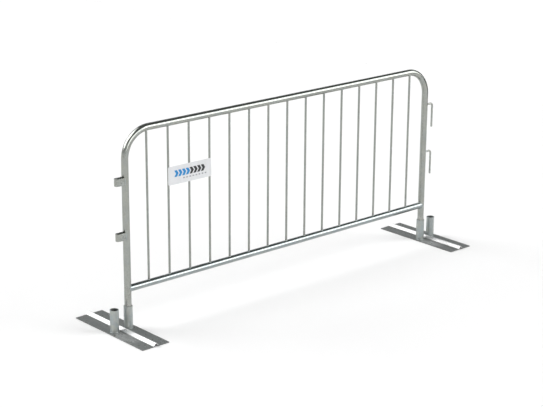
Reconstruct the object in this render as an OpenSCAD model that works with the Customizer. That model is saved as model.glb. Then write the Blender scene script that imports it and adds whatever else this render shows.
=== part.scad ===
// Crowd control barrier with flat feet.
// A bent tube frame holds a row of upright bars. Two hooks on the right leg drop into the
// two loops of the next barrier. Each leg stands loose in the inner socket of a flat foot,
// and the foot's outer socket is free for the leg of the neighbouring barrier.
// Origin on the ground, midway between the legs: X along the panel, Y across it, Z up.

/* [Panel] */
// Overall width of the panel over its two legs
panel_w = 2300; // [2000:10:2500]
// Height of the panel from the end of its legs to the top of the rail
panel_h = 1100; // [1000:10:1200]
// Outside diameter of the frame tube
tube_d = 38; // [34:1:40]
// Wall thickness of the frame tube
tube_wall = 1.5; // [1:0.5:3]
// Radius of the two top corners, at the tube's centre line
corner_r = 152; // [120:4:200]
// Height of the bottom rail's centre line above the ground
rail_height = 224; // [190:1:280]

/* [Infill bars] */
// Number of upright bars between the legs
bar_count = 15; // [9:2:19]
// Outside diameter of a bar
bar_d = 12; // [10:1:14]
// Wall thickness of a bar
bar_wall = 1.5; // [1:0.5:2]

/* [Coupling loops] */
// Height of the upper loop's middle above the ground
loop_height = 822; // [780:1:850]
// Height of the strap that the loop is bent from
strap_h = 40; // [30:1:50]
// Thickness of the strap
strap_t = 4; // [3:0.5:5]
// Outside width of the loop, seen from above
loop_w = 31; // [28:1:34]
// Reach of the loop from the leg's centre line
loop_reach = 68; // [60:1:80]

/* [Coupling hooks] */
// Height of the upper hook's highest point above the ground
hook_height = 870; // [860:1:900]
// Diameter of the hook's round rod
rod_d = 12; // [8:1:14]
// Distance from the leg's centre line to the hook's hanging rod
hook_offset = 68; // [60:0.5:72]
// Radius of the hook's bend, at the rod's centre line
hook_bend_r = 18; // [14:1:24]
// Length of the hook from its highest point to its lower end
hook_length = 154; // [120:1:170]

/* [Pairs of loops and hooks] */
// Height between the upper and the lower coupling
coupling_gap = 300; // [250:5:350]

/* [Sign plate] */
// Number of the bar that the sign is centred on
sign_bar = 3; // [3:1:7]
// Height of the sign
sign_h = 102; // [60:1:150]
// Height of the sign's middle above the ground
sign_height = 790.5; // [700:0.5:850]
// Thickness of the sign
sign_t = 2; // [1.5:0.5:3]
// Radius of the sign's corners
sign_corner_r = 8; // [4:1:20]

/* [Feet] */
// Length of a foot plate, across the panel
foot_l = 600; // [500:10:700]
// Width of a foot plate, along the panel
foot_w = 175; // [160:1:200]
// Thickness of the pressed plate
plate_t = 4; // [3:0.5:5]
// Height of the pressed ridge above the ground
ridge_h = 21.5; // [16:0.5:22]
// Distance between the centres of a foot's two sockets
socket_gap = 91; // [90:1:100]
// Outside diameter of a socket
socket_d = 48.3; // [47:0.1:48.3]
// Wall thickness of a socket
socket_wall = 3; // [2.5:0.1:3]
// Height of a socket's mouth above the ground
socket_height = 128.5; // [100:0.5:150]

/* [Hidden] */
BARS = [for (n = [1 : bar_count]) str("infill_bar_", n < 10 ? "0" : "", n)];
SIDES = ["left", "right"];
FOOT_PIECES = ["foot_plate", "inner_socket", "inner_socket_weld", "outer_socket", "outer_socket_weld"];

$fn = 96;
galvanised = "#9da19f";
galvanised_dark = "#84888a";
sign_grey = "#e3e3e3";
weld_grey = "#8c8f90";

// Overlap of a cutter past the face that it cuts
cut = 1;
tube_r = tube_d / 2;
bar_r = bar_d / 2;
rod_r = rod_d / 2;
socket_r = socket_d / 2;

leg_x = panel_w / 2 - tube_r;
leg_end_z = plate_t;
top_z = leg_end_z + panel_h - tube_r;
bend_x = leg_x - corner_r;
bend_z = top_z - corner_r;
bar_pitch = 2 * leg_x / (bar_count + 1);

hook_end_chamfer = 1.5;
sign_gap = 0.1;
sign_w = 2 * bar_pitch + bar_d;
tack_l = 12;
tack_r = 2.4;
tack_inset = 16;

foot_x = leg_x + socket_gap / 2;
foot_corner_r = 3;
ridge_slope = 48;
ridge_nose_r = 5;
ridge_inner_drop = plate_t / cos(ridge_slope);
ridge_sharp_h = ridge_h - ridge_nose_r + ridge_nose_r / cos(ridge_slope);
socket_weld = 2.5;

function bar_x(n) = n * bar_pitch - leg_x;

// A flat outline with rounded corners
module rounded_outline(w, h, r) {
    square([w - 2 * r, h], center = true);
    square([w, h - 2 * r], center = true);
    for (x = [-1, 1], y = [-1, 1])
        translate([x * (w / 2 - r), y * (h / 2 - r)]) circle(r);
}

// Solid run of the bent frame: two legs, two top corners and the top rail
module frame_run(r, end_z) {
    for (side = [0, 1]) mirror([side, 0, 0]) {
        translate([leg_x, 0, end_z]) cylinder(h = bend_z - end_z, r = r);
        translate([bend_x, 0, bend_z]) rotate([90, 0, 0])
            rotate_extrude(angle = 90) translate([corner_r, 0]) circle(r);
    }
    translate([-bend_x, 0, top_z]) rotate([0, 90, 0]) cylinder(h = 2 * bend_x, r = r);
}

// Solid run of the bottom rail between the centre lines of the legs
module rail_run(r) {
    translate([-leg_x, 0, rail_height]) rotate([0, 90, 0]) cylinder(h = 2 * leg_x, r = r);
}

// The outside of both legs, for coping what is welded to them
module legs_outside() {
    for (side = [-1, 1])
        translate([side * leg_x, 0, leg_end_z]) cylinder(h = bend_z - leg_end_z, r = tube_r);
}

module frame_tube() {
    color(galvanised) difference() {
        frame_run(tube_r, leg_end_z);
        frame_run(tube_r - tube_wall, leg_end_z - cut);
    }
}

module bottom_rail() {
    color(galvanised) difference() {
        rail_run(tube_r);
        rail_run(tube_r - tube_wall);
        legs_outside();
    }
}

// One upright bar, coped on to the bottom rail and under the frame tube
module infill_bar(n) {
    color(galvanised) difference() {
        translate([bar_x(n), 0, rail_height]) cylinder(h = top_z - rail_height, r = bar_r);
        translate([bar_x(n), 0, rail_height]) cylinder(h = top_z - rail_height, r = bar_r - bar_wall);
        rail_run(tube_r);
        frame_run(tube_r, leg_end_z);
    }
}

// Outline of the loop, seen from above, inset from its outer face
module loop_outline(inset) {
    nose_r = loop_w / 2 - inset;
    nose_x = loop_reach - loop_w / 2;
    translate([-nose_x, 0]) circle(nose_r);
    translate([-nose_x, -nose_r]) square([nose_x, 2 * nose_r]);
}

// Flat strap bent round into a loop, with both ends on the left leg
module coupling_loop(height) {
    color(galvanised) translate([-leg_x, 0, height - strap_h / 2]) linear_extrude(strap_h) difference() {
        loop_outline(0);
        loop_outline(strap_t);
        circle(tube_r);
    }
}

// Round rod that leaves the right leg, bends over and hangs down
module coupling_hook(height) {
    arch_x = hook_offset - hook_bend_r;
    arch_z = height - rod_r - hook_bend_r;
    drop = hook_length - rod_r - hook_bend_r - hook_end_chamfer;
    color(galvanised) translate([leg_x, 0, 0]) difference() {
        union() {
            translate([arch_x, 0, arch_z]) rotate([90, 0, 0])
                rotate_extrude(angle = 90) translate([hook_bend_r, 0]) circle(rod_r);
            translate([0, 0, arch_z + hook_bend_r]) rotate([0, 90, 0]) cylinder(h = arch_x, r = rod_r);
            translate([hook_offset, 0, arch_z - drop]) cylinder(h = drop, r = rod_r);
            translate([hook_offset, 0, arch_z - drop - hook_end_chamfer])
                cylinder(h = hook_end_chamfer, r1 = rod_r - hook_end_chamfer, r2 = rod_r);
        }
        cylinder(h = top_z, r = tube_r);
    }
}

// Thin sheet across the fronts of three bars
module sign_plate() {
    color(sign_grey) translate([bar_x(sign_bar), -bar_r - sign_gap, sign_height]) rotate([90, 0, 0])
        linear_extrude(sign_t) rounded_outline(sign_w, sign_h, sign_corner_r);
}

// Short weld beads in the corner between the back of the sign and each bar
module sign_welds() {
    color(weld_grey) for (n = [sign_bar - 1 : sign_bar + 1], level = [-1, 1]) {
        inner_sides = n < sign_bar ? [1] : n > sign_bar ? [-1] : [-1, 1];
        bead_z = sign_height + level * (sign_h / 2 - tack_inset) - tack_l / 2;
        for (side = inner_sides) difference() {
            translate([bar_x(n) + side * bar_r, -bar_r - sign_gap, bead_z]) cylinder(h = tack_l, r = tack_r);
            translate([bar_x(n), 0, bead_z - cut]) cylinder(h = tack_l + 2 * cut, r = bar_r);
            translate([bar_x(n) - 2 * bar_d, -bar_r - sign_gap - bar_d, bead_z - cut])
                cube([4 * bar_d, bar_d, tack_l + 2 * cut]);
        }
    }
}

// Outline of the pressed ridge, from the sharp corner its flanks would meet at
module ridge_outline(sharp_h, nose_r, base_z) {
    nose_z = sharp_h - nose_r / cos(ridge_slope);
    base_x = (sharp_h - base_z) / tan(ridge_slope);
    shoulder = [nose_r * sin(ridge_slope), nose_z + nose_r * cos(ridge_slope)];
    polygon([[-base_x, base_z], [base_x, base_z], shoulder, [-shoulder.x, shoulder.y]]);
    translate([0, nose_z]) circle(nose_r);
}

// Pressed plate with a ridge along its middle
module foot_plate(side) {
    color(galvanised_dark) translate([side * foot_x, 0, 0]) intersection() {
        rotate([90, 0, 0]) linear_extrude(foot_l, center = true) difference() {
            union() {
                translate([-foot_w / 2, 0]) square([foot_w, plate_t]);
                ridge_outline(ridge_sharp_h, ridge_nose_r, 0);
            }
            ridge_outline(ridge_sharp_h - ridge_inner_drop, ridge_nose_r - plate_t, -cut);
        }
        translate([0, 0, -cut]) linear_extrude(ridge_h + 2 * cut)
            rounded_outline(foot_w, foot_l, foot_corner_r);
    }
}

// Upright tube on the foot plate; its place is counted from the leg's centre line outward
module socket(side, outward) {
    color(galvanised) translate([side * (leg_x + outward), 0, plate_t]) difference() {
        cylinder(h = socket_height - plate_t, r = socket_r);
        translate([0, 0, -cut]) cylinder(h = socket_height - plate_t + 2 * cut, r = socket_r - socket_wall);
    }
}

// Weld bead round the foot of a socket
module socket_weld_ring(side, outward) {
    color(weld_grey) translate([side * (leg_x + outward), 0, plate_t]) rotate_extrude()
        polygon([[socket_r, 0], [socket_r + socket_weld, 0], [socket_r, socket_weld]]);
}

frame_tube();
bottom_rail();
for (n = [1 : bar_count])
    infill_bar(n);
coupling_loop(loop_height);  // upper_loop
coupling_loop(loop_height - coupling_gap);  // lower_loop
coupling_hook(hook_height);  // upper_hook
coupling_hook(hook_height - coupling_gap);  // lower_hook
sign_plate();
sign_welds();
foot_plate(-1);  // left_foot_plate
socket(-1, 0);  // left_inner_socket
socket_weld_ring(-1, 0);  // left_inner_socket_weld
socket(-1, socket_gap);  // left_outer_socket
socket_weld_ring(-1, socket_gap);  // left_outer_socket_weld
foot_plate(1);  // right_foot_plate
socket(1, 0);  // right_inner_socket
socket_weld_ring(1, 0);  // right_inner_socket_weld
socket(1, socket_gap);  // right_outer_socket
socket_weld_ring(1, socket_gap);  // right_outer_socket_weld
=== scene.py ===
import math
import random

import bmesh
import bpy
from mathutils import Matrix, Vector


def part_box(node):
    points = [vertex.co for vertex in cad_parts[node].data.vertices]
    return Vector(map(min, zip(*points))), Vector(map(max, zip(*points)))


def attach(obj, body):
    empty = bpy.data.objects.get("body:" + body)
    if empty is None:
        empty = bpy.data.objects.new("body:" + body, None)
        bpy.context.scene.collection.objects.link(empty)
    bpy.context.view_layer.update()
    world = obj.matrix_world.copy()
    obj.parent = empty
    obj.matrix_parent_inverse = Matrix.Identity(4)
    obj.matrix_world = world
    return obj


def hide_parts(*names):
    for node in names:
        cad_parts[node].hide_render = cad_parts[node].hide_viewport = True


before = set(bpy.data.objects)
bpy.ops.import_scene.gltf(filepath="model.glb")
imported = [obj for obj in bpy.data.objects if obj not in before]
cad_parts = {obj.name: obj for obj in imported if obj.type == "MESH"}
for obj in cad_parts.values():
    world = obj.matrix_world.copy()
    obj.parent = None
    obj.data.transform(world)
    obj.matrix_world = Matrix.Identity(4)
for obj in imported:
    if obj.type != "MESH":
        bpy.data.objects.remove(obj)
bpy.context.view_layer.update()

MM = 0.001

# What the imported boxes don't give, repeated from part.scad
CORNER_R = 152 * MM
TUBE_WALL = 1.5 * MM
STRAP_T = 4 * MM
HOOK_BEND_R = 18 * MM
SOCKET_WALL = 3 * MM
PLATE_T = 4 * MM
RIDGE_SLOPE = math.radians(48)
RIDGE_NOSE_R = 5 * MM
SIGN_CORNER_R = 8 * MM
FOOT_CORNER_R = 3 * MM

# Where the camera stood, and how it was turned
CAMERA_AT = Vector((-5.6988, -6.2669, 3.1381))
CAMERA_AZIMUTH = math.radians(-41.706)
CAMERA_ELEVATION = math.radians(17.518)
CAMERA_ROLL = math.radians(0.335)
CAMERA_LENS = 103.08
SENSOR_WIDTH = 36

# How finely curves are cut: round tubes, bars and rods, the frame's bends and its straight runs
ROUND_STEPS = 64
ROD_STEPS = 40
BEND_STEPS = 72
LEG_STEPS = 24
# How far one welded piece reaches into the next, so that no light shows through the joint
SUNK = 0.3 * MM
# How far the loops' ends reach into the leg's wall
STRAP_REACH = 2 * MM
# The print's ink starts a little behind the sign's face and stands this proud of it
INK_SUNK = 0.02 * MM
INK_PROUD = 0.12 * MM
# Radii of the weld beads, and the distances between their ripples
BAR_BEAD_R = 1.5 * MM
RAIL_BEAD_R = 1.9 * MM
LOOP_BEAD_R = 2.2 * MM
HOOK_BEAD_R = 1.8 * MM
TACK_BEAD_R = 1.1 * MM
SOCKET_BEAD_R = 2.1 * MM
BEAD_PITCH = 2.6 * MM
SOCKET_BEAD_PITCH = 3.4 * MM
# How finely the beads are cut along their length: round rods and at the loops, the rail, the sockets
BEAD_STEPS = 60
RAIL_BEAD_STEPS = 120
SOCKET_BEAD_STEPS = 160
# A bead's thickness drifts between this many random values along its length
BEAD_DRIFTS = 12
# The thinnest that an open bead's end gets, as a share of its radius
BEAD_END = 0.15
# Faces of a weld bead or a zinc drip stay smooth where they meet at less than this angle
BEAD_SHARP = 60
DRIP_SHARP = 80

FLOOR_WHITE = 0.85
# Strength of the white behind the floor, as light on matt surfaces and as the camera sees it
PAPER_LIGHT = 0.59
PAPER_SEEN = 1.05

BARS = [name for name in sorted(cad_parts) if name.startswith("infill_bar_")]


# ---------------------------------------------------------------- measures from the CAD

def centre(node):
    low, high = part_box(node)
    return (low + high) / 2


rail_low, rail_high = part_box("bottom_rail")
tube_low, tube_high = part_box("frame_tube")
TUBE_R = (rail_high.z - rail_low.z) / 2
RAIL_Z = (rail_high.z + rail_low.z) / 2
LEG_X = tube_high.x - TUBE_R
LEG_END_Z = tube_low.z
TOP_Z = tube_high.z - TUBE_R
BEND_X = LEG_X - CORNER_R
BEND_Z = TOP_Z - CORNER_R


def half_chord(radius, offset):
    """Half the width of a circle at a distance from its middle."""
    return math.sqrt(max(radius * radius - offset * offset, 0.0))


def underside_of_frame(x, y):
    """Height of the frame tube's lower surface above a point, under the top rail or a corner."""
    reach = CORNER_R - half_chord(TUBE_R, y)
    return BEND_Z + half_chord(reach, max(0.0, abs(x) - BEND_X))


# ---------------------------------------------------------------- mesh building

def finish_mesh(name, verts, faces, sharp=35):
    """A mesh object with faces that look outwards, smooth where they meet at less than the sharp angle."""
    mesh = bpy.data.meshes.new(name)
    mesh.from_pydata([tuple(v) for v in verts], [], faces)
    mesh.validate()
    shell = bmesh.new()
    shell.from_mesh(mesh)
    bmesh.ops.recalc_face_normals(shell, faces=shell.faces)
    shell.to_mesh(mesh)
    shell.free()
    mesh.shade_smooth()
    mesh.set_sharp_from_angle(angle=math.radians(sharp))
    piece = bpy.data.objects.new(name, mesh)
    bpy.context.scene.collection.objects.link(piece)
    return piece


def skin(rings, loop=False):
    """Vertices and faces over a row of closed rings; loop joins the last ring to the first."""
    count = len(rings[0])
    verts = [point for ring in rings for point in ring]
    faces = []
    last = len(rings) if loop else len(rings) - 1
    for i in range(last):
        here, after = i * count, (i + 1) % len(rings) * count
        for j in range(count):
            k = (j + 1) % count
            faces.append((here + j, here + k, after + k, after + j))
    if not loop:
        faces.append(tuple(range(count - 1, -1, -1)))
        faces.append(tuple(range(len(verts) - count, len(verts))))
    return verts, faces


def join_parts(parts):
    """One list of vertices and faces from several."""
    verts, faces = [], []
    for part_verts, part_faces in parts:
        base = len(verts)
        verts.extend(part_verts)
        faces.extend(tuple(base + i for i in face) for face in part_faces)
    return verts, faces


def place(piece, body, slot, material, *nodes):
    """Gives a piece its material and its CAD body, and hides the CAD nodes that it stands for. slot is not
    used.
    """
    piece.data.materials.append(material)
    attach(piece, body)
    if nodes:
        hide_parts(*nodes)
    return piece


def place_welds(name, parts, body="panel", *nodes, sharp=BEAD_SHARP):
    """Makes weld beads, or other small runs of metal, into one piece."""
    piece = finish_mesh(name, *join_parts(parts), sharp=sharp)
    return place(piece, body, "weld_metal", WELD_STEEL, *nodes)


def circle_angles(steps=ROUND_STEPS):
    return [2 * math.pi * i / steps for i in range(steps)]


def ring_round(at, out, across, out_r, across_r, steps=ROUND_STEPS):
    """A ring of points about at, in the plane of the unit directions out and across."""
    return [at + out * (out_r * math.cos(a)) + across * (across_r * math.sin(a))
            for a in circle_angles(steps)]


def swept(path, radius, steps=10, closed=False):
    """Rings of varying radius along a path, turned as little as possible from one to the next."""
    count = len(path)
    rings = []
    side = None
    for i, at in enumerate(path):
        before = path[i - 1] if closed or i else path[0]
        after = path[(i + 1) % count] if closed or i < count - 1 else path[-1]
        along = (after - before).normalized()
        if side is None:
            side = along.orthogonal().normalized()
        side = (side - along * side.dot(along)).normalized()
        across = along.cross(side)
        rings.append(ring_round(at, side, across, radius(i), radius(i), steps))
    return rings


# ---------------------------------------------------------------- node helpers

def new_tree(name):
    material = bpy.data.materials.new(name)
    material.use_nodes = True
    return material, material.node_tree


def node(tree, kind, **values):
    made = tree.nodes.new(kind)
    for key, value in values.items():
        setattr(made, key, value)
    return made


def feed(tree, socket, value):
    """Links a node's output to a socket, or sets the socket to a plain value."""
    if isinstance(value, bpy.types.NodeSocket):
        tree.links.new(value, socket)
    else:
        socket.default_value = value


def maths(tree, operation, first, second=0.5, clamp=False):
    made = node(tree, "ShaderNodeMath", operation=operation, use_clamp=clamp)
    feed(tree, made.inputs[0], first)
    feed(tree, made.inputs[1], second)
    return made.outputs[0]


def length_of(tree, x, y):
    """Distance from the origin of a point in a plane."""
    squares = maths(tree, "ADD", maths(tree, "MULTIPLY", x, x), maths(tree, "MULTIPLY", y, y))
    return maths(tree, "SQRT", squares)


def spread(tree, value, low, high, to_low, to_high):
    """Maps a value from one range to another, without going past either end."""
    made = node(tree, "ShaderNodeMapRange", clamp=True)
    for socket, number in zip(made.inputs, (value, low, high, to_low, to_high)):
        feed(tree, socket, number)
    return made.outputs["Result"]


def blend(tree, factor, first, second, mode="MIX"):
    made = node(tree, "ShaderNodeMix", data_type="RGBA", blend_type=mode)
    feed(tree, made.inputs["Factor"], factor)
    colours = [socket for socket in made.inputs if socket.type == "RGBA"]
    feed(tree, colours[0], first)
    feed(tree, colours[1], second)
    return [socket for socket in made.outputs if socket.type == "RGBA"][0]


def place_of(tree):
    """A point's place in the object's own axes, so that a pattern rides with its piece."""
    return node(tree, "ShaderNodeTexCoord").outputs["Object"]


def axes_of(tree, vector):
    """The three numbers of a vector, as outputs named X, Y and Z."""
    made = node(tree, "ShaderNodeSeparateXYZ")
    feed(tree, made.inputs[0], vector)
    return made.outputs


def stretched(tree, coords, scale):
    made = node(tree, "ShaderNodeMapping")
    feed(tree, made.inputs["Vector"], coords)
    made.inputs["Scale"].default_value = scale
    return made.outputs["Vector"]


def noise(tree, coords, scale, detail=3.0, roughness=0.5):
    made = node(tree, "ShaderNodeTexNoise")
    feed(tree, made.inputs["Vector"], coords)
    made.inputs["Scale"].default_value = scale
    made.inputs["Detail"].default_value = detail
    made.inputs["Roughness"].default_value = roughness
    return made.outputs["Fac"]


def crystals(tree, coords, scale):
    """The zinc's crystal pattern: one random number for each cell."""
    made = node(tree, "ShaderNodeTexVoronoi", feature="F1")
    feed(tree, made.inputs["Vector"], coords)
    made.inputs["Scale"].default_value = scale
    parts = node(tree, "ShaderNodeSeparateColor")
    feed(tree, parts.inputs[0], made.outputs["Color"])
    return parts.outputs[0]


def bump(tree, height, strength, distance, normal=None):
    made = node(tree, "ShaderNodeBump")
    made.inputs["Strength"].default_value = strength
    made.inputs["Distance"].default_value = distance
    feed(tree, made.inputs["Height"], height)
    if normal is not None:
        feed(tree, made.inputs["Normal"], normal)
    return made.outputs["Normal"]


def tinted(level, tint=(1.0, 1.0, 1.0)):
    """A linear colour of a level and a tint."""
    return (level * tint[0], level * tint[1], level * tint[2], 1.0)


# ---------------------------------------------------------------- materials

def zinc_colour(tree, tone, tint, cell, cloud, patch, drag):
    """The zinc's tone, varied by its crystals, clouds and drag marks, and cooler in patches."""
    level = maths(tree, "ADD", spread(tree, cell, 0, 1, -0.055, 0.055),
                  spread(tree, cloud, 0.3, 0.7, -0.07, 0.07))
    level = maths(tree, "ADD", level, spread(tree, drag, 0.3, 0.7, -0.05, 0.05))
    level = maths(tree, "ADD", level, 1.0)
    cooler = (tint[0] * 0.96, tint[1] * 0.99, tint[2] * 1.03)
    base = blend(tree, spread(tree, patch, 0.35, 0.65, 0, 1), tinted(tone, tint), tinted(tone, cooler))
    return blend(tree, 1.0, base, level, "MULTIPLY")


def galvanised(name, tone, tint, roughness, grain, wear=None, rim=1.0, metal=1.0):
    """Hot-dip galvanised steel.

    grain stretches the drag marks along the piece. rim below 1 dulls glancing reflections, and
    metal below 1 gives a chalky share. wear changes the colour and roughness in places.
    """
    material, tree = new_tree(name)
    shader = tree.nodes["Principled BSDF"]
    coords = place_of(tree)
    cell = crystals(tree, coords, 105)
    cloud = noise(tree, coords, 7, 5, 0.6)
    patch = noise(tree, coords, 26, 4, 0.55)
    drag = noise(tree, stretched(tree, coords, grain), 34, 4, 0.6)
    grit = noise(tree, coords, 620, 2, 0.6)

    colour = zinc_colour(tree, tone, tint, cell, cloud, patch, drag)
    rough = maths(tree, "ADD", spread(tree, cell, 0, 1, -0.03, 0.05),
                  spread(tree, patch, 0.35, 0.65, -0.03, 0.05))
    rough = maths(tree, "ADD", rough, roughness)
    if wear is not None:
        colour, rough = wear(tree, coords, colour, rough)
    feed(tree, shader.inputs["Base Color"], colour)
    feed(tree, shader.inputs["Roughness"], rough)
    shader.inputs["Metallic"].default_value = metal
    shader.inputs["Specular Tint"].default_value = (rim, rim, rim, 1)
    shape = bump(tree, drag, 0.10, 0.4 * MM)
    shape = bump(tree, cell, 0.05, 0.15 * MM, shape)
    shape = bump(tree, grit, 0.06, 0.08 * MM, shape)
    feed(tree, shader.inputs["Normal"], shape)
    return material


def height_band(tree, coords, low, high, soft):
    """1 between two heights, fading to 0 over a soft distance on both sides."""
    height = axes_of(tree, coords)["Z"]
    rise = spread(tree, height, low - soft, low, 0, 1)
    fall = spread(tree, height, high, high + soft, 1, 0)
    return maths(tree, "MULTIPLY", rise, fall)


def leg_wear(tree, coords, colour, rough):
    """Bright rubbing where the legs rattle in the sockets' mouths, and dulling near the ground."""
    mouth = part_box("left_inner_socket")[1].z
    band = height_band(tree, coords, mouth - 8 * MM, mouth + 20 * MM, 22 * MM)
    scratch = noise(tree, stretched(tree, coords, (1, 1, 0.25)), 260, 4, 0.7)
    rub = maths(tree, "MULTIPLY", band, spread(tree, scratch, 0.45, 0.6, 0, 1))
    colour = blend(tree, maths(tree, "MULTIPLY", rub, 0.5), colour, tinted(0.55))
    low = height_band(tree, coords, 0, mouth + 64 * MM, 120 * MM)
    rough = maths(tree, "ADD", rough, maths(tree, "MULTIPLY", low, 0.14))
    return colour, rough


def socket_wear(tree, coords, colour, rough):
    """Mottled zinc outside, and dull bores from just under the sockets' mouths, darkened with dirt and
    painted shade.
    """
    low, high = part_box("right_inner_socket")
    bore_r, other_x = (high.x - low.x) / 2 - SOCKET_WALL, centre("right_outer_socket").x
    axes = axes_of(tree, coords)
    x = maths(tree, "ABSOLUTE", axes["X"])
    aside = [maths(tree, "ABSOLUTE", maths(tree, "SUBTRACT", x, axis_x)) for axis_x in (LEG_X, other_x)]
    off_axis = length_of(tree, maths(tree, "MINIMUM", *aside), axes["Y"])
    inside = spread(tree, off_axis, bore_r + 0.1 * MM, bore_r + 0.5 * MM, 1, 0)
    below = spread(tree, axes["Z"], high.z - 4 * MM, high.z - 0.6 * MM, 1, 0)
    # Dirt and painted shade: the bores are painted nearly black, standing in for the shade that falls
    # inside them.
    dirt = maths(tree, "MULTIPLY", inside, below)
    mottle = spread(tree, noise(tree, coords, 36, 3, 0.55), 0.45, 0.64, 0, 0.6)
    colour = blend(tree, mottle, colour, tinted(0.46, (0.985, 1.0, 0.9)))
    colour = blend(tree, maths(tree, "MULTIPLY", dirt, 0.75), colour, tinted(0.05, (1.05, 1.02, 0.95)))
    rough = maths(tree, "ADD", rough, maths(tree, "MULTIPLY", dirt, 0.3))
    return colour, rough


def foot_wear(tree, coords, colour, rough):
    """Scuffs, streaks and ground dirt on the feet, with painted highlights: lighter zinc in front of the
    sockets and a much lighter ridge.
    """
    axes = axes_of(tree, coords)
    # Painted highlight: lighter zinc on the plate beside the ridge, just in front of the sockets, standing
    # in for light the sockets throw down on it.
    ridge_x = maths(tree, "MULTIPLY", maths(tree, "SIGN", axes["X"]), centre("right_foot_plate").x)
    from_ridge = maths(tree, "SUBTRACT", axes["X"], ridge_x)
    beside = maths(tree, "DIVIDE", maths(tree, "ADD", from_ridge, 50 * MM), 48 * MM)
    before = maths(tree, "DIVIDE", maths(tree, "ADD", axes["Y"], 110 * MM), 100 * MM)
    painted_socket_highlight = spread(tree, length_of(tree, beside, before), 0.45, 1.1, 0.5, 0)
    colour = blend(tree, painted_socket_highlight, colour, tinted(0.52))
    streak = noise(tree, stretched(tree, coords, (7, 0.3, 1)), 30, 4, 0.6)
    colour = blend(tree, spread(tree, streak, 0.42, 0.62, 0, 0.45), colour, tinted(0.13))
    scuff = noise(tree, stretched(tree, coords, (3.0, 0.6, 1.0)), 75, 5, 0.7)
    scuff = spread(tree, scuff, 0.56, 0.68, 0, 0.55)
    colour = blend(tree, scuff, colour, tinted(0.36))
    # Painted highlight: everything above the flat plate, the whole ridge, is painted much lighter, standing
    # in for the bright light it reflects.
    wear_and_highlight = spread(tree, axes["Z"], PLATE_T + 1 * MM, PLATE_T + 4 * MM, 0, 0.9)
    colour = blend(tree, wear_and_highlight, colour, tinted(0.62))
    dirt = maths(tree, "MULTIPLY", height_band(tree, coords, -5 * MM, 3.2 * MM, 0.8 * MM),
                 spread(tree, noise(tree, coords, 40, 4, 0.6), 0.4, 0.6, 0.0, 0.3))
    colour = blend(tree, dirt, colour, tinted(0.11, (1.08, 1.05, 0.92)))
    rough = maths(tree, "ADD", rough, maths(tree, "MULTIPLY", maths(tree, "ADD", scuff, dirt), 0.2))
    return colour, rough


def rod_wear(tree, coords, colour, rough):
    """Rubbing on the hanging rods, where they drop into the next barrier's loops."""
    hanging = spread(tree, axes_of(tree, coords)["X"], LEG_X + 52 * MM, LEG_X + 60 * MM, 0, 1)
    scratch = noise(tree, stretched(tree, coords, (1, 1, 0.12)), 420, 4, 0.7)
    rub = maths(tree, "MULTIPLY", hanging, spread(tree, scratch, 0.48, 0.62, 0, 1))
    colour = blend(tree, maths(tree, "MULTIPLY", rub, 0.55), colour, tinted(0.56))
    rough = maths(tree, "ADD", rough, maths(tree, "MULTIPLY", rub, 0.1))
    return colour, rough


def sign_coat():
    """White stoved coat with faint dust streaks and a slight orange peel."""
    material, tree = new_tree("sign_coat")
    shader = tree.nodes["Principled BSDF"]
    coords = place_of(tree)
    dust = noise(tree, stretched(tree, coords, (1.0, 1.0, 0.16)), 60, 5, 0.6)
    cloud = noise(tree, coords, 14, 4, 0.5)
    coat, dusty, washed = (0.655, 0.665, 0.685, 1), (0.57, 0.575, 0.57, 1), (0.685, 0.69, 0.705, 1)
    colour = blend(tree, spread(tree, dust, 0.42, 0.7, 0, 0.5), coat, dusty)
    colour = blend(tree, spread(tree, cloud, 0.4, 0.65, 0, 0.35), colour, washed)
    feed(tree, shader.inputs["Base Color"], colour)
    feed(tree, shader.inputs["Roughness"], spread(tree, dust, 0.35, 0.7, 0.32, 0.5))
    feed(tree, shader.inputs["Normal"], bump(tree, noise(tree, coords, 420, 2), 0.08, 0.1 * MM))
    return material


def print_ink(name, colour, wear_and_highlight):
    """Screen-printed ink, thin in small spots so that the coat shows through."""
    material, tree = new_tree(name)
    shader = tree.nodes["Principled BSDF"]
    coords = place_of(tree)
    spots = noise(tree, coords, 380, 4, 0.7)
    cloud = noise(tree, coords, 45, 3, 0.5)
    tone = blend(tree, spread(tree, cloud, 0.35, 0.65, 0, 0.3), colour, wear_and_highlight)
    tone = blend(tree, spread(tree, spots, 0.66, 0.74, 0, 0.6), tone, wear_and_highlight)
    feed(tree, shader.inputs["Base Color"], tone)
    feed(tree, shader.inputs["Roughness"], spread(tree, cloud, 0.3, 0.7, 0.34, 0.48))
    feed(tree, shader.inputs["Normal"], bump(tree, spots, 0.1, 0.05 * MM))
    return material


def floor_paper():
    """Matt white paper, a little uneven."""
    material, tree = new_tree("studio_floor")
    shader = tree.nodes["Principled BSDF"]
    coords = place_of(tree)
    colour = blend(tree, noise(tree, coords, 0.7, 3), (0.84, 0.84, 0.84, 1), (0.86, 0.86, 0.86, 1))
    feed(tree, shader.inputs["Base Color"], colour)
    shader.inputs["Roughness"].default_value = 0.9
    shader.inputs["Specular IOR Level"].default_value = 0.1
    return material


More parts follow.
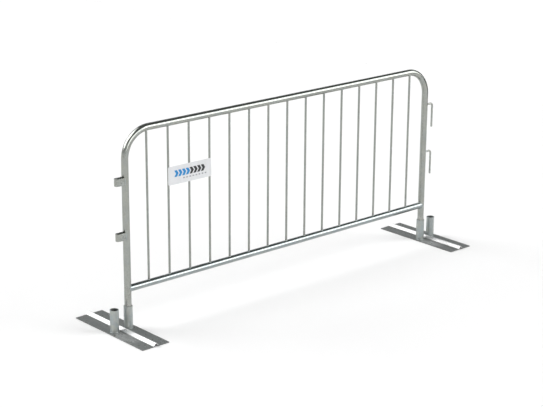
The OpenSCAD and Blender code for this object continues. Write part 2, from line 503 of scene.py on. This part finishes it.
WARM_ZINC = (0.975, 1.0, 0.915)
COOL_ZINC = (0.93, 1.0, 0.985)
PLAIN_ZINC = (0.96, 1.0, 0.95)
FRAME_STEEL = galvanised("frame_galvanised", 0.36, WARM_ZINC, 0.16, (6, 6, 0.5), leg_wear, rim=0.66)
RAIL_STEEL = galvanised("rail_galvanised", 0.36, COOL_ZINC, 0.16, (0.5, 6, 6), rim=0.66)
BAR_STEEL = galvanised("bar_galvanised", 0.32, WARM_ZINC, 0.2, (6, 6, 0.4), rim=0.72)
LOOP_STEEL = galvanised("loop_galvanised", 0.35, WARM_ZINC, 0.24, (0.8, 5, 5))
HOOK_STEEL = galvanised("hook_galvanised", 0.35, WARM_ZINC, 0.22, (5, 5, 0.6), rod_wear)
FOOT_STEEL = galvanised("foot_galvanised", 0.19, PLAIN_ZINC, 0.3, (5, 0.6, 5), foot_wear, metal=0.55)
SOCKET_STEEL = galvanised("socket_galvanised", 0.40, COOL_ZINC, 0.37, (5, 5, 0.5), socket_wear, metal=0.82)
WELD_STEEL = galvanised("weld_galvanised", 0.42, COOL_ZINC, 0.36, (3, 3, 3), metal=0.85)
SIGN_COAT = sign_coat()
BLUE_INK = print_ink("blue_ink", (0.0, 0.20, 0.50, 1), (0.01, 0.25, 0.55, 1))
BLACK_INK = print_ink("black_ink", (0.012, 0.012, 0.014, 1), (0.05, 0.05, 0.055, 1))
GREY_INK = print_ink("grey_ink", (0.26, 0.27, 0.29, 1), (0.36, 0.37, 0.39, 1))


# ---------------------------------------------------------------- the panel

def frame_stations():
    """Points along the frame's centre line, each with its outward direction and its share of bending."""
    stations = []
    for side in (-1, 1):
        leg = [Vector((side * LEG_X, 0, LEG_END_Z + (BEND_Z - LEG_END_Z) * i / LEG_STEPS))
               for i in range(LEG_STEPS)]
        half = [(at, Vector((side, 0, 0)), 0.0) for at in leg]
        for i in range(BEND_STEPS + 1):
            turn = math.pi / 2 * i / BEND_STEPS
            out = Vector((side * math.cos(turn), 0, math.sin(turn)))
            middle = Vector((side * BEND_X, 0, BEND_Z))
            half.append((middle + out * CORNER_R, out, math.sin(2 * turn) ** 2))
        stations.append(half)
    left, right = stations
    rail = [(Vector((BEND_X * (i / LEG_STEPS - 1), 0, TOP_Z)), Vector((0, 0, 1)), 0.0)
            for i in range(1, 2 * LEG_STEPS)]
    return left + rail + right[::-1]


def frame_tube():
    """The bent tube, a little flattened in its two bends, with its wall showing at the open ends."""
    across = Vector((0, 1, 0))
    stations = frame_stations()

    def rings(radius):
        flat, wide = 0.03, 0.012
        return [ring_round(at, out, across, radius * (1 - flat * bent), radius * (1 + wide * bent))
                for at, out, bent in stations]
    outer, inner = rings(TUBE_R), rings(TUBE_R - TUBE_WALL)
    piece = finish_mesh("frame_tube_bent", *skin(outer + inner[::-1], loop=True))
    place(piece, "panel", "frame_steel", FRAME_STEEL, "frame_tube")


def bottom_rail():
    """The straight rail, with both ends coped round the legs."""
    rings = []
    for side in (-1, 1):
        ring = []
        for a in circle_angles():
            y, z = TUBE_R * math.sin(a), TUBE_R * math.cos(a)
            ring.append(Vector((side * (LEG_X - half_chord(TUBE_R, y) + SUNK), y, RAIL_Z + z)))
        rings.append(ring)
    left, right = rings
    steps = 48
    run = [[a.lerp(b, i / steps) for a, b in zip(left, right)] for i in range(steps + 1)]
    piece = finish_mesh("bottom_rail_tube", *skin(run))
    place(piece, "panel", "rail_steel", RAIL_STEEL, "bottom_rail")


def infill_bars():
    """The upright bars, each coped on to the bottom rail and under the frame."""
    for bar in BARS:
        low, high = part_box(bar)
        x, radius = (low.x + high.x) / 2, (high.y - low.y) / 2
        foot, head = [], []
        for a in circle_angles(ROD_STEPS):
            at_x, y = x + radius * math.cos(a), radius * math.sin(a)
            foot.append(Vector((at_x, y, RAIL_Z + half_chord(TUBE_R, y) - SUNK)))
            head.append(Vector((at_x, y, underside_of_frame(at_x, y) + SUNK)))
        steps = 30
        run = [[a.lerp(b, i / steps) for a, b in zip(foot, head)] for i in range(steps + 1)]
        piece = finish_mesh(bar + "_tube", *skin(run))
        place(piece, "panel", "bar_steel", BAR_STEEL, bar)


def rounded_rectangle(width, height, radius, steps=5):
    """Points round a rectangle with round corners, about its middle."""
    points = []
    for quarter, (sx, sy) in enumerate(((1, 1), (-1, 1), (-1, -1), (1, -1))):
        for i in range(steps + 1):
            a = math.pi / 2 * (quarter + i / steps)
            points.append((sx * (width / 2 - radius) + radius * math.cos(a),
                           sy * (height / 2 - radius) + radius * math.sin(a)))
    return points


def coupling_loop(name):
    """A flat strap with eased edges, bent round to a U with both ends on the left leg."""
    low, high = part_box(name)
    middle_z, height = (low.z + high.z) / 2, high.z - low.z
    centre_r = (high.y - low.y) / 2 - STRAP_T / 2
    nose_x = low.x + (high.y - low.y) / 2
    leg_end = -LEG_X - half_chord(TUBE_R, centre_r) + STRAP_REACH
    edge_r, side_steps, bend_steps = 0.9 * MM, 12, 40
    straight = [leg_end + (nose_x - leg_end) * i / side_steps for i in range(side_steps + 1)]
    path = [(Vector((x, -centre_r, middle_z)), Vector((0, -1, 0))) for x in straight]
    for i in range(1, bend_steps):
        a = math.pi * i / bend_steps
        out = Vector((-math.sin(a), -math.cos(a), 0))
        path.append((Vector((nose_x, 0, middle_z)) + out * centre_r, out))
    path += [(Vector((x, centre_r, middle_z)), Vector((0, 1, 0))) for x in reversed(straight)]
    section = rounded_rectangle(STRAP_T, height, edge_r)
    rings = [[at + out * u + Vector((0, 0, v)) for u, v in section] for at, out in path]
    piece = finish_mesh(name + "_strap", *skin(rings))
    place(piece, "panel", "loop_steel", LOOP_STEEL, name)


def coupling_hook(name):
    """A round rod that leaves the right leg, bends over and hangs down to an eased end."""
    low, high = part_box(name)
    rod_r = (high.y - low.y) / 2
    drop_x, arm_z = high.x - rod_r, high.z - rod_r
    arch = Vector((drop_x - HOOK_BEND_R, 0, arm_z - HOOK_BEND_R))
    across = Vector((0, 1, 0))
    start = []
    for a in circle_angles(ROD_STEPS):
        y = rod_r * math.sin(a)
        start.append(Vector((LEG_X + half_chord(TUBE_R, y) - SUNK, y, arm_z + rod_r * math.cos(a))))
    rings = [start]
    bend_steps, drop_steps, ease_steps = 28, 12, 4
    for i in range(bend_steps + 1):
        turn = math.pi / 2 * (1 - i / bend_steps)
        out = Vector((math.cos(turn), 0, math.sin(turn)))
        rings.append(ring_round(arch + out * HOOK_BEND_R, out, across, rod_r, rod_r, ROD_STEPS))
    ease = 1.5 * MM
    end_z = low.z + ease
    for i in range(1, drop_steps + 1):
        at = Vector((drop_x, 0, arch.z + (end_z - arch.z) * i / drop_steps))
        rings.append(ring_round(at, Vector((1, 0, 0)), across, rod_r, rod_r, ROD_STEPS))
    for i in range(1, ease_steps + 1):
        a = math.pi / 2 * i / ease_steps
        at = Vector((drop_x, 0, end_z - ease * math.sin(a)))
        end_r = rod_r - ease * (1 - math.cos(a))
        rings.append(ring_round(at, Vector((1, 0, 0)), across, end_r, end_r, ROD_STEPS))
    piece = finish_mesh(name + "_rod", *skin(rings))
    place(piece, "panel", "hook_steel", HOOK_STEEL, name)


def sign_plate():
    """Thin coated sheet with round corners and eased edges. Returns its middle, width, height and front."""
    low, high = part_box("sign_plate")
    middle = (low + high) / 2
    width, height = high.x - low.x, high.z - low.z
    ease = 0.35 * MM
    rings = []
    for inset, y in ((ease, low.y), (0, low.y + ease), (0, high.y - ease), (ease, high.y)):
        outline = rounded_rectangle(width - 2 * inset, height - 2 * inset, SIGN_CORNER_R - inset, 10)
        rings.append([Vector((middle.x - u, y, middle.z + v)) for u, v in outline])
    piece = finish_mesh("sign_sheet", *skin(rings))
    place(piece, "panel", "sign_sheet", SIGN_COAT, "sign_plate")
    return middle, width, height, low.y


def flat_print(name, outlines, front_y, material):
    """Closed flat shapes, a print's thickness proud of the sign's face."""
    depths = (front_y + INK_SUNK, front_y - INK_PROUD)
    parts = [skin([[Vector((x, y, z)) for x, z in outline] for y in depths]) for outline in outlines]
    piece = finish_mesh(name, *join_parts(parts))
    place(piece, "panel", "sign_sheet", material)


def sign_print():
    """A plain generic mark: a row of chevrons, blue then black, over a row of dashes."""
    middle, width, height, front_y = sign_plate()

    def chevron(i):
        left, right = (0.088 * i - 0.365) * width, (0.088 * i - 0.303) * width
        point, low, high = 0.04 * width, -0.10 * height, 0.26 * height
        half = (low + high) / 2
        return [(left, low), (right, low), (right + point, half),
                (right, high), (left, high), (left + point, half)]

    def dash(i):
        left, right = (0.072 * i - 0.16) * width, (0.072 * i - 0.124) * width
        low, high = -0.27 * height, -0.20 * height
        return [(left, low), (right, low), (right, high), (left, high)]

    def on_sign(outline):
        return [(middle.x + x, middle.z + z) for x, z in outline]
    flat_print("sign_mark_blue", [on_sign(chevron(i)) for i in range(4)], front_y, BLUE_INK)
    flat_print("sign_mark_black", [on_sign(chevron(i)) for i in range(4, 8)], front_y, BLACK_INK)
    flat_print("sign_mark_dashes", [on_sign(dash(i)) for i in range(8)], front_y, GREY_INK)


# ---------------------------------------------------------------- the feet

def socket_tube(name, body):
    """A saw-cut tube with eased rims."""
    low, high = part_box(name)
    axis = (low + high) / 2
    outer, ease = (high.x - low.x) / 2, 0.5 * MM
    inner = outer - SOCKET_WALL
    profile = [(outer, low.z)]
    profile += [(outer, low.z + (high.z - ease - low.z) * i / 8) for i in range(1, 9)]
    profile += [(outer - ease * (1 - math.cos(a)), high.z - ease + ease * math.sin(a))
                for a in (math.pi / 8 * i for i in range(1, 5))]
    profile += [(inner + ease * (1 - math.sin(a)), high.z - ease + ease * math.cos(a))
                for a in (math.pi / 8 * i for i in range(5))]
    profile += [(inner, low.z)]
    rings = [ring_round(Vector((axis.x, axis.y, z)), Vector((1, 0, 0)), Vector((0, 1, 0)), r, r)
             for r, z in profile]
    piece = finish_mesh(name + "_tube", *skin(rings, loop=True))
    place(piece, body, "socket_steel", SOCKET_STEEL, name)


def arc_points(middle, radius, start, end, steps):
    """Points along an arc, in degrees counted from the first axis."""
    return [(middle[0] + radius * math.cos(math.radians(start + (end - start) * i / steps)),
             middle[1] + radius * math.sin(math.radians(start + (end - start) * i / steps)))
            for i in range(steps + 1)]


def plate_section(width, ridge_top):
    """Half of the plate's cross-section, top surface then underside, from the middle outwards."""
    slope = math.degrees(RIDGE_SLOPE)
    nose_z = ridge_top - RIDGE_NOSE_R
    sharp_top = nose_z + RIDGE_NOSE_R / math.cos(RIDGE_SLOPE)
    foot_x = (sharp_top - PLATE_T) / math.tan(RIDGE_SLOPE)
    root_r, edge = 1.2 * MM, 0.6 * MM
    root_x = foot_x + root_r * math.tan(RIDGE_SLOPE / 2)
    top = arc_points((0, nose_z), RIDGE_NOSE_R, 90, 90 - slope, 6)
    top += arc_points((root_x, PLATE_T + root_r), root_r, 270 - slope, 270, 4)
    top += [(root_x + (width / 2 - edge - root_x) * i / 6, PLATE_T) for i in range(1, 6)]
    top += arc_points((width / 2 - edge, PLATE_T - edge), edge, 90, 0, 3)
    inner_r = RIDGE_NOSE_R - PLATE_T
    sharp_in = nose_z + inner_r / math.cos(RIDGE_SLOPE)
    mouth_x = sharp_in / math.tan(RIDGE_SLOPE)
    under = [(width / 2, edge), (width / 2 - edge, 0)]
    under += [(mouth_x + (width / 2 - edge - mouth_x) * i / 6, 0) for i in range(5, -1, -1)]
    under += arc_points((0, nose_z), inner_r, 90 - slope, 90, 4)
    return top, under


def foot_plate(name, body):
    """Pressed plate with a hollow ridge along its middle and round corners."""
    low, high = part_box(name)
    middle = (low + high) / 2
    width, length = high.x - low.x, high.y - low.y
    top, under = plate_section(width, high.z)
    right = top + under
    section = right + [(-x, z) for x, z in right[-2:0:-1]]
    near_end = [FOOT_CORNER_R * (1 - math.cos(math.pi / 2 * i / 8)) - length / 2 for i in range(9)]
    run = [length * (i / 40 - 0.5) for i in range(1, 40)]
    edge = width / 2 - FOOT_CORNER_R
    rings = []
    for y in near_end + run + [-y for y in reversed(near_end)]:
        past = max(0.0, abs(y) - (length / 2 - FOOT_CORNER_R))
        squeeze = max(half_chord(FOOT_CORNER_R, past) / FOOT_CORNER_R, 0.1)
        ring = []
        for x, z in section:
            if abs(x) > edge:
                x = math.copysign(edge + (abs(x) - edge) * squeeze, x)
            ring.append(Vector((middle.x + x, middle.y + y, z)))
        rings.append(ring)
    piece = finish_mesh(name + "_pressed", *skin(rings))
    place(piece, body, "foot_steel", FOOT_STEEL, name)


# ---------------------------------------------------------------- weld beads

def bead(path, radius, seed, closed=True, pitch=BEAD_PITCH):
    """A rippled weld bead along a path, with round ends where it isn't closed."""
    draw = random.Random(seed)
    lengths = [0.0]
    for a, b in zip(path, path[1:]):
        lengths.append(lengths[-1] + (b - a).length)
    wander = [draw.uniform(-1, 1) for _ in range(BEAD_DRIFTS)]
    total = lengths[-1]

    def size(i):
        ripple = abs(math.sin(math.pi * lengths[i] / pitch))
        spot = lengths[i] / total * BEAD_DRIFTS
        before, after = wander[int(spot) % BEAD_DRIFTS], wander[(int(spot) + 1) % BEAD_DRIFTS]
        drift = before + (after - before) * (spot - int(spot))
        taper = 1.0
        if not closed:
            from_end = min(lengths[i], total - lengths[i], radius)
            taper = max(half_chord(radius, radius - from_end) / radius, BEAD_END)
        return radius * taper * (0.88 + 0.12 * ripple + 0.07 * drift)
    return skin(swept(path, size, 8, closed), loop=closed)


def bar_bead(x, radius, height_at, seed):
    """Bead round a bar's end, on the surface that height_at gives."""
    path = []
    for a in circle_angles(BEAD_STEPS):
        at_x, y = x + radius * math.cos(a), radius * math.sin(a)
        path.append(Vector((at_x, y, height_at(at_x, y))))
    return bead(path, BAR_BEAD_R, seed)


def bar_welds():
    """Beads at both ends of every upright bar."""
    low_parts, high_parts = [], []
    for i, bar in enumerate(BARS):
        low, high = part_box(bar)
        x, radius = (low.x + high.x) / 2, (high.y - low.y) / 2
        low_parts.append(bar_bead(x, radius, lambda at_x, y: RAIL_Z + half_chord(TUBE_R, y), 100 + i))
        high_parts.append(bar_bead(x, radius, underside_of_frame, 200 + i))
    place_welds("bar_welds_lower", low_parts)
    place_welds("bar_welds_upper", high_parts)


def rail_welds():
    """Beads where the bottom rail meets the legs."""
    parts = []
    for side in (-1, 1):
        path = []
        for a in circle_angles(RAIL_BEAD_STEPS):
            y, z = TUBE_R * math.sin(a), TUBE_R * math.cos(a)
            path.append(Vector((side * (LEG_X - half_chord(TUBE_R * 1.01, y)), y, RAIL_Z + z)))
        parts.append(bead(path, RAIL_BEAD_R, 300 + side))
    place_welds("rail_welds", parts)


def loop_welds():
    """Upright beads along both faces of each strap end."""
    inset = 2.0 * MM
    parts = []
    for seed, name in ((400, "upper_loop"), (420, "lower_loop")):
        low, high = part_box(name)
        outer = (high.y - low.y) / 2
        for k, y in enumerate((-outer, -(outer - STRAP_T), outer - STRAP_T, outer)):
            x = -LEG_X - half_chord(TUBE_R, y)
            span = high.z - low.z - 2 * inset
            path = [Vector((x, y, low.z + inset + span * i / BEAD_STEPS)) for i in range(BEAD_STEPS + 1)]
            parts.append(bead(path, LOOP_BEAD_R, seed + k, closed=False))
    place_welds("loop_welds", parts)


def hook_welds():
    """Beads round the hooks' rods where they leave the right leg."""
    parts = []
    for seed, name in ((500, "upper_hook"), (501, "lower_hook")):
        low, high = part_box(name)
        rod_r = (high.y - low.y) / 2
        path = []
        for a in circle_angles(BEAD_STEPS):
            y = rod_r * math.sin(a)
            path.append(Vector((LEG_X + half_chord(TUBE_R, y), y, high.z - rod_r + rod_r * math.cos(a))))
        parts.append(bead(path, HOOK_BEAD_R, seed))
    place_welds("hook_welds", parts)


def sign_tacks():
    """Short beads in the corners between the sign's back and the bars."""
    sign_low, sign_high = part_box("sign_plate")
    tack_low, tack_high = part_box("sign_welds")
    length, steps = 12 * MM, 30
    # Where a bead lies against its bar, as shares of the bar's radius
    aside, ahead = 0.62, 0.93
    middle_x = (sign_low.x + sign_high.x) / 2
    crossed = [bar for bar in BARS if sign_low.x < centre(bar).x < sign_high.x]
    parts = []
    for i, bar in enumerate(crossed):
        low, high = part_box(bar)
        x, radius = (low.x + high.x) / 2, (high.x - low.x) / 2
        sides = [-1, 1] if abs(x - middle_x) < radius else [math.copysign(1, middle_x - x)]
        for k, start in enumerate((tack_low.z, tack_high.z - length)):
            for side in sides:
                edge = Vector((x + side * radius * aside, -radius * ahead, start))
                path = [edge + Vector((0, 0, length * j / steps)) for j in range(steps + 1)]
                parts.append(bead(path, TACK_BEAD_R, 600 + i * 4 + k * 2 + int(side), closed=False))
    place_welds("sign_tack_beads", parts, "panel", "sign_welds")


def socket_bead(name, body, seed):
    """Bead round the base of a socket."""
    socket_name = name.replace("_weld", "")
    low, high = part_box(socket_name)
    axis, radius = (low + high) / 2, (high.x - low.x) / 2
    path = [Vector((axis.x + radius * math.cos(a), axis.y + radius * math.sin(a), low.z + 0.2 * MM))
            for a in circle_angles(SOCKET_BEAD_STEPS)]
    parts = [bead(path, SOCKET_BEAD_R, seed, pitch=SOCKET_BEAD_PITCH)]
    place_welds(name + "_bead", parts, body, name)


def zinc_drips():
    """Small frozen runs of zinc under the bottom rail and the loops."""
    draw = random.Random(7)
    spots = [Vector((draw.uniform(-0.95, 0.95) * BEND_X, draw.uniform(-2, 2) * MM, RAIL_Z - TUBE_R))
             for _ in range(9)]
    for name in ("upper_loop", "lower_loop"):
        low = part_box(name)[0]
        spots.append(Vector((low.x + draw.uniform(10, 30) * MM, low.y + STRAP_T / 2, low.z)))
    parts = []
    steps = 12
    for spot in spots:
        length, radius = draw.uniform(1.2, 2.4) * MM, draw.uniform(1.0, 1.5) * MM
        rings = []
        for i in range(steps + 1):
            t = math.sin(math.pi / 2 * i / steps)
            r = radius * (0.8 + 0.4 * (1 - t) ** 2) * max(half_chord(1.0, t), 0.05)
            at = spot + Vector((0, 0, SUNK - (length + SUNK) * t))
            rings.append(ring_round(at, Vector((1, 0, 0)), Vector((0, 1, 0)), r, r, 20))
        parts.append(skin(rings))
    place_welds("zinc_drips", parts, sharp=DRIP_SHARP)


def build_panel():
    """Everything that lifts out of the feet."""
    frame_tube()
    bottom_rail()
    infill_bars()
    for name in ("upper_loop", "lower_loop"):
        coupling_loop(name)
    for name in ("upper_hook", "lower_hook"):
        coupling_hook(name)
    sign_print()
    bar_welds()
    rail_welds()
    loop_welds()
    hook_welds()
    sign_tacks()
    zinc_drips()


def build_feet():
    """Both feet, each with its two sockets and their beads."""
    for seed, side in ((700, "left"), (710, "right")):
        foot_plate(side + "_foot_plate", side + "_foot")
        socket_tube(side + "_inner_socket", side + "_socket")
        socket_tube(side + "_outer_socket", side + "_foot")
        socket_bead(side + "_inner_socket_weld", side + "_socket", seed)
        socket_bead(side + "_outer_socket_weld", side + "_foot", seed + 1)


# ---------------------------------------------------------------- the studio

def studio_floor():
    """White paper that ends sooner on the right, where the metal reflects a darker room."""
    left, right, deep = -9.5, 4.5, 9.5
    corners = [(left, -deep, 0), (right, -deep, 0), (right, deep, 0), (left, deep, 0)]
    mesh = bpy.data.meshes.new("studio_floor")
    mesh.from_pydata(corners, [], [(0, 1, 2, 3)])
    floor = bpy.data.objects.new("studio_floor", mesh)
    bpy.context.scene.collection.objects.link(floor)
    mesh.materials.append(floor_paper())


def mirrored_room(tree):
    """Colour of a dim room, paler in a band some 25 degrees up and near the floor on the left."""
    axes = axes_of(tree, node(tree, "ShaderNodeTexCoord").outputs["Generated"])
    dim = node(tree, "ShaderNodeValToRGB")
    feed(tree, dim.inputs[0], axes["Z"])
    stops = ((0.0, 0.15), (0.14, 0.2), (0.31, 0.42), (0.38, 0.74), (0.47, 0.72), (0.62, 0.15))
    while len(dim.color_ramp.elements) < len(stops):
        dim.color_ramp.elements.new(0.5)
    for stop, (at, level) in zip(dim.color_ramp.elements, stops):
        stop.position = at
        stop.color = (level * 0.96, level, level * 1.01, 1)
    left = spread(tree, axes["X"], -0.1, 0.25, 1, 0)
    near_floor = spread(tree, axes["Z"], 0.08, 0.3, 0.8, 0)
    pale = maths(tree, "MULTIPLY", left, near_floor)
    return blend(tree, pale, dim.outputs["Color"], tinted(1.0))


def studio_world():
    """White behind the floor, even light on matt surfaces and a dim room in the metal."""
    world = bpy.data.worlds.new("studio")
    world.use_nodes = True
    bpy.context.scene.world = world
    tree = world.node_tree
    tree.nodes.clear()
    rays = node(tree, "ShaderNodeLightPath")
    room = node(tree, "ShaderNodeBackground")
    feed(tree, room.inputs["Color"], mirrored_room(tree))
    paper = node(tree, "ShaderNodeBackground")
    paper.inputs["Color"].default_value = (1, 1, 1, 1)
    strength = spread(tree, rays.outputs["Is Camera Ray"], 0, 1, PAPER_LIGHT, PAPER_SEEN)
    feed(tree, paper.inputs["Strength"], strength)
    choose = node(tree, "ShaderNodeMixShader")
    feed(tree, choose.inputs[0], rays.outputs["Is Glossy Ray"])
    tree.links.new(paper.outputs[0], choose.inputs[1])
    tree.links.new(room.outputs[0], choose.inputs[2])
    output = node(tree, "ShaderNodeOutputWorld")
    tree.links.new(choose.outputs[0], output.inputs["Surface"])


def soft_box(name, at, aim, width, height, radiance):
    """A rectangular soft light seen in the metal only. radiance is how bright its face looks."""
    light = bpy.data.lights.new(name, "AREA")
    light.shape = "RECTANGLE"
    light.size, light.size_y = width, height
    light.energy = radiance * math.pi * width * height
    lamp = bpy.data.objects.new(name, light)
    lamp.location = at
    lamp.rotation_mode = "QUATERNION"
    lamp.rotation_quaternion = (Vector(aim) - Vector(at)).to_track_quat("-Z", "Y")
    lamp.visible_camera = False
    lamp.visible_diffuse = False
    bpy.context.scene.collection.objects.link(lamp)


def soft_sun(name, towards, share, spread_deg):
    """Soft light from one side, on matt surfaces only. share is its part of the white floor's light."""
    towards = Vector(towards).normalized()
    light = bpy.data.lights.new(name, "SUN")
    light.angle = math.radians(spread_deg)
    light.energy = share * math.pi / (FLOOR_WHITE * towards.z)
    lamp = bpy.data.objects.new(name, light)
    lamp.rotation_mode = "QUATERNION"
    lamp.rotation_quaternion = (-towards).to_track_quat("-Z", "Y")
    lamp.visible_glossy = False
    bpy.context.scene.collection.objects.link(lamp)


def studio_lights():
    """Three soft boxes for the metal and two suns for matt surfaces."""
    soft_box("box_front_right", (5.8, -5.4, 4.0), (0, 0, 3.4), 7.0, 6.2, 3.2)
    soft_box("box_front", (-0.2, -7.2, 3.9), (0, 0, 2.2), 8.6, 5.0, 2.2)
    soft_box("box_back_left", (-4.7, 4.3, 6.5), (0, 0, 0), 8.6, 8.2, 4.2)
    soft_sun("sun_front_right", (0.62, -0.58, 0.41), 0.22, 35)
    soft_sun("sun_back_left", (-0.41, 0.70, 0.594), 0.32, 35)


def photo_camera():
    """The camera that fits the photo."""
    back = Vector((math.sin(CAMERA_AZIMUTH) * math.cos(CAMERA_ELEVATION),
                   -math.cos(CAMERA_AZIMUTH) * math.cos(CAMERA_ELEVATION),
                   math.sin(CAMERA_ELEVATION)))
    right = Vector((0, 0, 1)).cross(back).normalized()
    up = back.cross(right)
    turned_right = right * math.cos(CAMERA_ROLL) + up * math.sin(CAMERA_ROLL)
    turned_up = up * math.cos(CAMERA_ROLL) - right * math.sin(CAMERA_ROLL)
    lens = bpy.data.cameras.new("photo_camera")
    lens.lens = CAMERA_LENS
    lens.sensor_width = SENSOR_WIDTH
    lens.clip_start, lens.clip_end = 0.1, 200
    camera = bpy.data.objects.new("photo_camera", lens)
    axes = Matrix((turned_right, turned_up, back)).transposed().to_4x4()
    camera.matrix_world = Matrix.Translation(CAMERA_AT) @ axes
    bpy.context.scene.collection.objects.link(camera)
    bpy.context.scene.camera = camera


build_panel()
build_feet()
studio_floor()
studio_world()
studio_lights()
photo_camera()
bpy.context.scene.view_settings.view_transform = "Standard"
